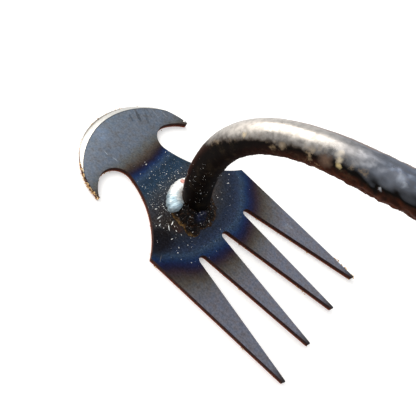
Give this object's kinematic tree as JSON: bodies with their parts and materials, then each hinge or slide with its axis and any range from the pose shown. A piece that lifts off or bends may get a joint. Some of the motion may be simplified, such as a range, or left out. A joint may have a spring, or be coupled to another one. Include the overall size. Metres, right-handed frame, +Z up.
{
  "type": "weeding rake",
  "caption": "Hand weeder with a tined rake and a sharpened crescent hoe in one steel plate, welded under a bent tube handle with a rubber grip.",
  "frame": {"origin": "on the underside of the flat head, below the middle of the handle's foot", "axes": "+X from the crescent hoe to the tines and along the handle, +Z up, out of the head's top"},
  "size_m": [0.3125, 0.0844, 0.1879],
  "materials": {
    "head_steel": "mill-finish carbon steel sheet with heat tint round the weld and a bright ground edge",
    "tube_steel": "dark, glossy and unevenly scaled steel tube",
    "bright_weld": "bright rippled weld bead",
    "dark_weld": "burnt, oxide-covered weld",
    "grip_rubber": "matt moulded black rubber"
  },
  "bodies": {
    "root": {"head_plate": "head_steel", "handle_tube": "tube_steel", "weld_bead": "bright_weld", "weld_fillet": "dark_weld", "grip_sleeve": "grip_rubber"}
  },
  "joints": []
}
